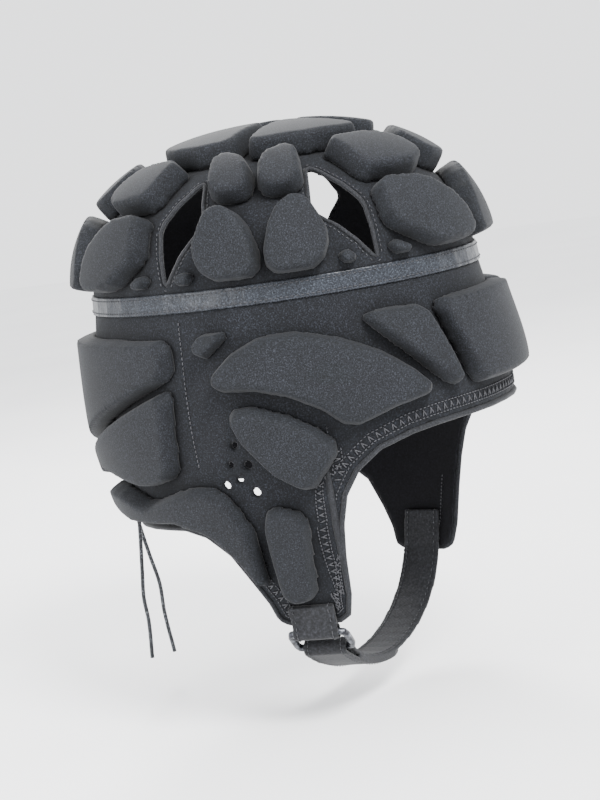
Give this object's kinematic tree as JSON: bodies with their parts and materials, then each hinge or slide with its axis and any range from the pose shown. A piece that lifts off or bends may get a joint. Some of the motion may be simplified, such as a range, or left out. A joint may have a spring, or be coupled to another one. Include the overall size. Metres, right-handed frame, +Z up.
{
  "type": "rugby scrum cap",
  "caption": "Soft padded rugby headguard with moulded foam pads, crown vents, ear holes, a laced slit at the back and a buckled chin strap.",
  "frame": {"origin": "where the top of the head touches the inside of the crown", "axes": "+Z up through the crown, -Y the way the face looks, +X the wearer's left"},
  "size_m": [0.1814, 0.2171, 0.2585],
  "materials": {
    "fabric": "matt knit",
    "foam": "matt heathered knit over foam",
    "tape": "satin",
    "webbing": "matt woven",
    "ring": "dark, glossy",
    "lace": "waxed"
  },
  "bodies": {
    "root": {"crown_shell": "fabric", "lower_shell": "fabric", "crown_tape": "tape", "front_leaf_left": "foam", "front_leaf_right": "foam", "front_chunk_left": "foam", "front_chunk_right": "foam", "front_corner_left": "foam", "front_corner_right": "foam", "side_left_leaf_left": "foam", "side_left_leaf_right": "foam", "side_left_chunk_left": "foam", "side_left_chunk_right": "foam", "side_left_corner_left": "foam", "side_left_corner_right": "foam", "side_right_leaf_left": "foam", "side_right_leaf_right": "foam", "side_right_chunk_left": "foam", "side_right_chunk_right": "foam", "side_right_corner_left": "foam", "side_right_corner_right": "foam", "rear_left_leaf_left": "foam", "rear_left_leaf_right": "foam", "rear_left_chunk_left": "foam", "rear_left_chunk_right": "foam", "rear_left_corner_right": "foam", "rear_right_leaf_left": "foam", "rear_right_leaf_right": "foam", "rear_right_chunk_left": "foam", "rear_right_chunk_right": "foam", "rear_right_corner_left": "foam", "top_front_left": "foam", "top_front_right": "foam", "top_rear_left": "foam", "top_rear_right": "foam", "front_trapezoid": "foam", "front_triangle_left": "foam", "front_triangle_right": "foam", "side_arch_left": "foam", "side_arch_right": "foam", "side_fan_left": "foam", "side_fan_right": "foam", "rear_top_corner_left": "foam", "rear_top_corner_right": "foam", "cheek_front_left": "foam", "cheek_front_right": "foam", "cheek_rear_left": "foam", "cheek_rear_right": "foam", "rear_quad_left": "foam", "rear_quad_right": "foam", "rear_wedge_left": "foam", "rear_wedge_right": "foam", "webbing_tab": "webbing", "buckle_ring": "ring", "chin_strap": "webbing", "lace_laced": "lace", "lace_knot": "lace", "lace_bow_loop": "lace", "lace_tail_left": "lace", "lace_tail_right": "lace"}
  },
  "joints": []
}
